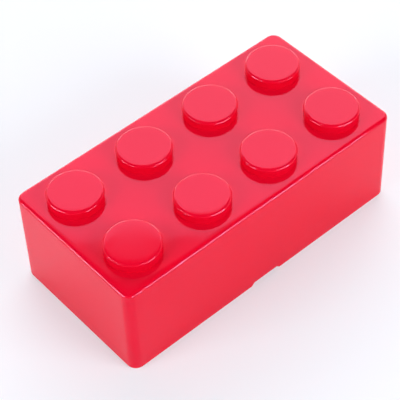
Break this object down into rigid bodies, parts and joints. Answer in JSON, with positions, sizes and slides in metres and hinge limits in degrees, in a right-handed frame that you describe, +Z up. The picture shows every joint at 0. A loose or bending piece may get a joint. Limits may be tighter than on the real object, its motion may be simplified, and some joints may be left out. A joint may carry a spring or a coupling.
{
  "type": "building-block storage box",
  "caption": "Block-shaped plastic storage box: a studded outer cover that lifts off an inner tray, and stacks on another of its kind.",
  "frame": {"origin": "middle of the footprint, on the surface that the box stands on", "axes": "+X along the long side, +Y across, +Z up through the studs"},
  "size_m": [0.184, 0.092, 0.0663],
  "materials": {
    "cover_plastic": "glossy moulded polypropylene, bright red",
    "tray_plastic": "moulded polypropylene, bright red, a little less polished"
  },
  "bodies": {
    "tray": {"storage_tray": "tray_plastic"},
    "cover": {"brick_cover": "cover_plastic"}
  },
  "joints": [
    {"name": "cover_lift", "type": "slide", "parent": "tray", "child": "cover", "axis": [0, 0, 1], "range_m": [0, 0.08]}
  ]
}
